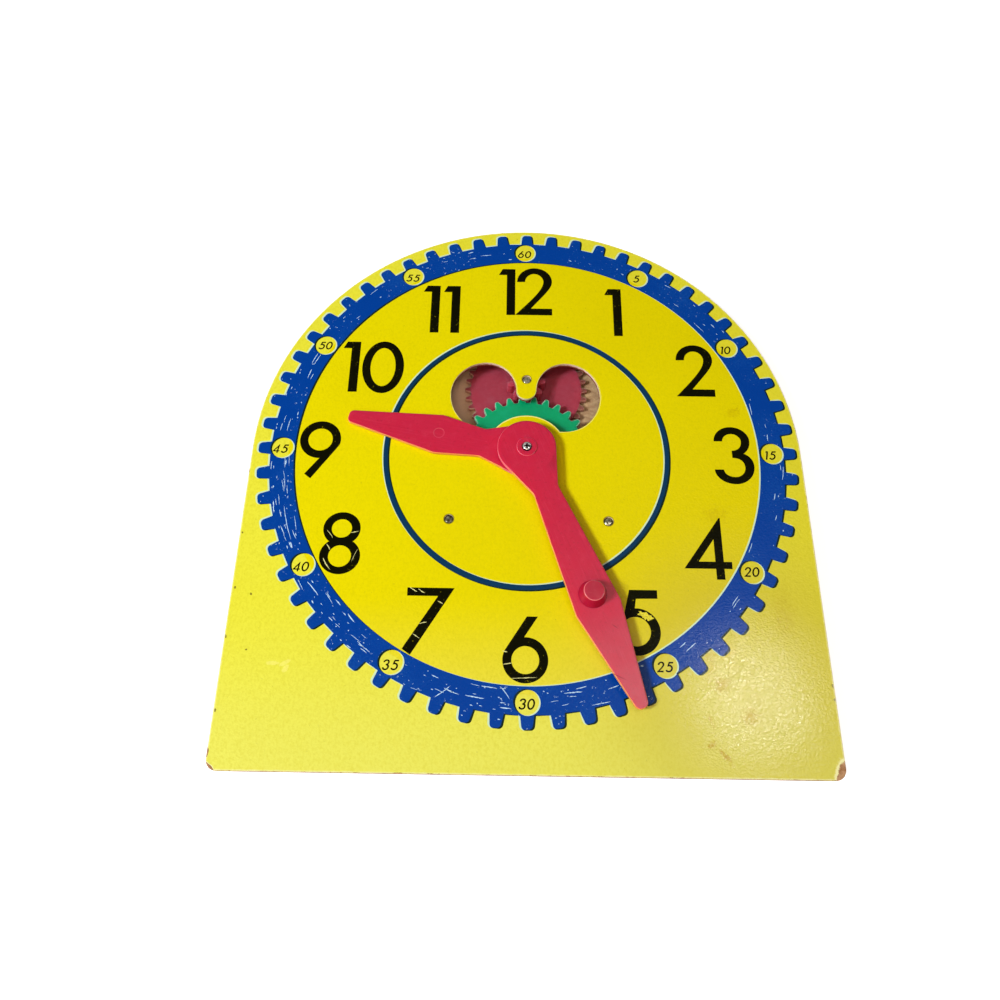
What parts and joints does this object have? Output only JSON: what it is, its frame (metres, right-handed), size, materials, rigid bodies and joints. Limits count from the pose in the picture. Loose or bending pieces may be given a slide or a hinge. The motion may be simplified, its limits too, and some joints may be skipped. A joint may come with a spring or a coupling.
{
  "type": "geared teaching clock",
  "caption": "Arched hardboard clock dial for teaching the time, lying face up, with hands geared together by wheels that show through a two-lobed window.",
  "frame": {"origin": "centre of the footprint, on the plane of the flat back plate that the clock lies on; the hands' axis is 8.925 mm from it towards 12 o'clock", "axes": "+Z out of the face, +Y towards 12 o'clock, +X towards 3 o'clock"},
  "size_m": [0.3238, 0.343, 0.0335],
  "materials": {
    "dial_paint": "yellow enamel on textured hardboard",
    "hardboard": "bare tempered hardboard",
    "tube_steel": "zinc plated",
    "rivet_steel": "dull nickel plated",
    "washer_steel": "zinc plated",
    "red_gear_plastic": "moulded, dulled",
    "green_plastic": "moulded",
    "crimson_plastic": "moulded, semi gloss",
    "pinion_plastic": "moulded",
    "arbor_steel": "turned",
    "spring_steel": "blued",
    "screw_steel": "nickel plated"
  },
  "bodies": {
    "dial": {"face_board": "dial_paint", "back_plate": "hardboard", "spacer_left": "tube_steel", "spacer_right": "tube_steel", "board_rivets": "rivet_steel", "rivet_washers": "washer_steel", "idler_axle": "rivet_steel", "idler_sleeve": "tube_steel", "idler_washer_rear": "washer_steel", "idler_washer_front": "washer_steel", "friction_spring": "spring_steel"},
    "minute": {"centre_arbor": "arbor_steel", "minute_pinion": "pinion_plastic", "minute_hand": "crimson_plastic", "minute_hand_knob": "crimson_plastic", "centre_screw": "screw_steel"},
    "idler": {"idler_gear": "red_gear_plastic"},
    "hour": {"hour_gear": "green_plastic", "hour_hand": "crimson_plastic"}
  },
  "joints": [
    {"name": "minute_hand_turn", "type": "hinge", "parent": "dial", "child": "minute", "pos_m": [0, 0.00893, 0], "axis": [0, 0, -1], "continuous": true},
    {"name": "idler_turn", "type": "hinge", "parent": "dial", "child": "idler", "pos_m": [0, 0.05793, 0], "axis": [0, 0, -1], "continuous": true},
    {"name": "hour_hand_turn", "type": "hinge", "parent": "dial", "child": "hour", "pos_m": [0, 0.00893, 0], "axis": [0, 0, -1], "continuous": true}
  ],
  "couplings": [
    {"joint": "idler_turn", "follows": "minute_hand_turn", "ratio": -0.33333},
    {"joint": "hour_hand_turn", "follows": "minute_hand_turn", "ratio": 0.083333}
  ]
}
